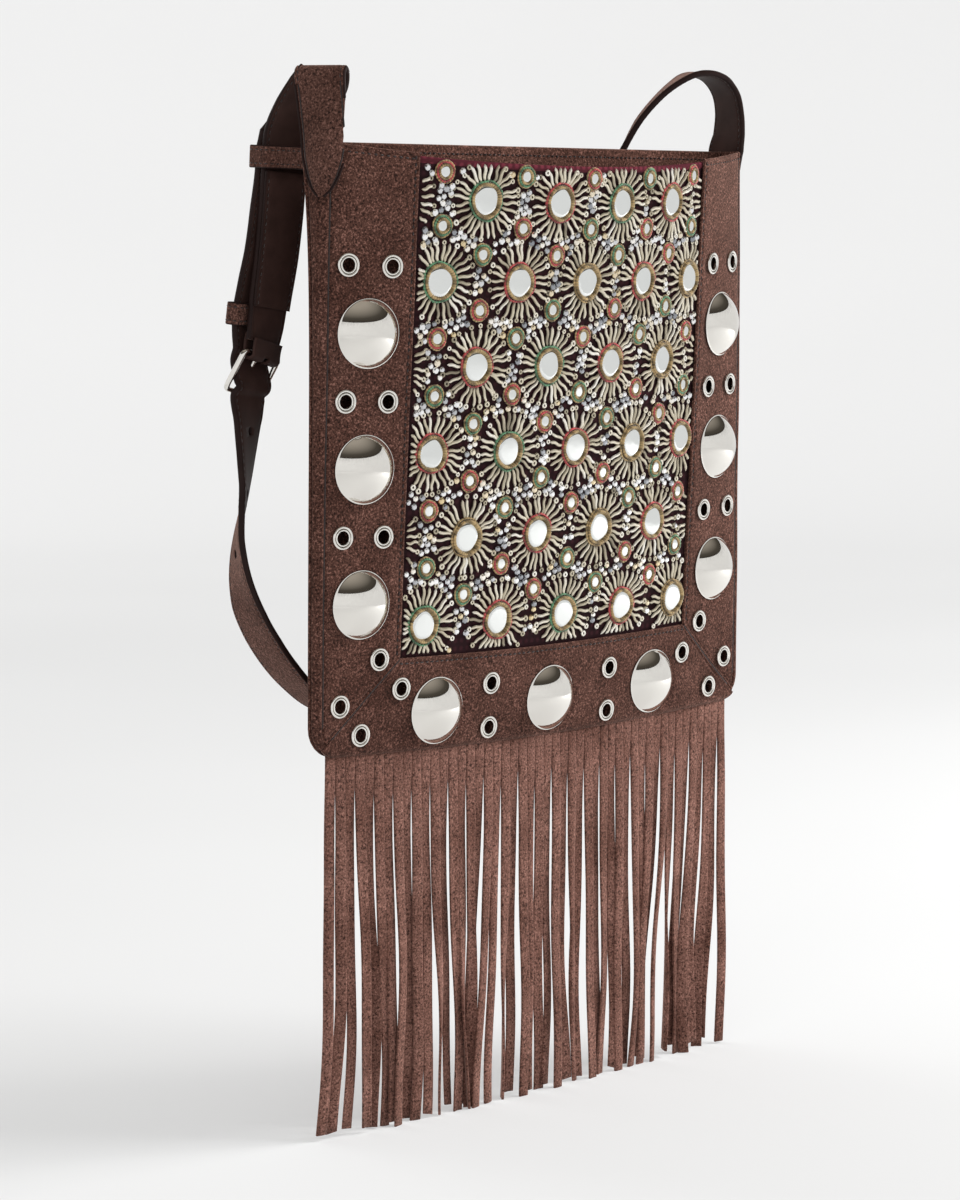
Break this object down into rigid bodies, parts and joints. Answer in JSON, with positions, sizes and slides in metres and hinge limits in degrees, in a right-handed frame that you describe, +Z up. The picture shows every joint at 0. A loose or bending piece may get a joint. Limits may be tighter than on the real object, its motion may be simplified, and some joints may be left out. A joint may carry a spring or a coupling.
{
  "type": "fringed suede crossbody bag",
  "caption": "Flat suede crossbody bag with a mirror-embroidered front window, dome studs, eyelets, a long bottom fringe and a buckled strap, hung up by its strap.",
  "frame": {"origin": "hang_rail: between the strap's two bends, level with the underside of the left one, which is where hooks or a rail carry the bag", "axes": "+Z up, +X along the front to the right as seen from the front, +Y from the front to the back"},
  "size_m": [0.3144, 0.0741, 0.4803],
  "materials": {
    "body_suede": "suede nap",
    "fringe_suede": "suede nap",
    "strap_suede": "suede outside, smooth lining inside, painted edges",
    "embroidered_cloth": "cloth with metal thread, beads and round mirrors",
    "polished_metal": "polished"
  },
  "bodies": {
    "root": {"front_strip_left": "body_suede", "front_strip_right": "body_suede", "front_strip_bottom": "body_suede", "embroidered_panel": "embroidered_cloth", "back_panel": "body_suede", "gusset_left": "body_suede", "gusset_right": "body_suede", "fringe": "fringe_suede", "buckle_frame": "polished_metal", "strap_short": "strap_suede", "buckle_prong": "polished_metal", "strap_long": "strap_suede", "keeper_top": "strap_suede", "keeper_buckle": "strap_suede", "dome_stud_1": "polished_metal", "dome_stud_2": "polished_metal", "dome_stud_3": "polished_metal", "dome_stud_4": "polished_metal", "dome_stud_5": "polished_metal", "dome_stud_6": "polished_metal", "dome_stud_7": "polished_metal", "dome_stud_8": "polished_metal", "dome_stud_9": "polished_metal", "eyelet_01": "polished_metal", "eyelet_02": "polished_metal", "eyelet_03": "polished_metal", "eyelet_04": "polished_metal", "eyelet_05": "polished_metal", "eyelet_06": "polished_metal", "eyelet_07": "polished_metal", "eyelet_08": "polished_metal", "eyelet_09": "polished_metal", "eyelet_10": "polished_metal", "eyelet_11": "polished_metal", "eyelet_12": "polished_metal", "eyelet_13": "polished_metal", "eyelet_14": "polished_metal", "eyelet_15": "polished_metal", "eyelet_16": "polished_metal", "eyelet_17": "polished_metal", "eyelet_18": "polished_metal", "eyelet_19": "polished_metal", "eyelet_20": "polished_metal", "eyelet_21": "polished_metal", "eyelet_22": "polished_metal", "eyelet_23": "polished_metal", "eyelet_24": "polished_metal"}
  },
  "joints": []
}
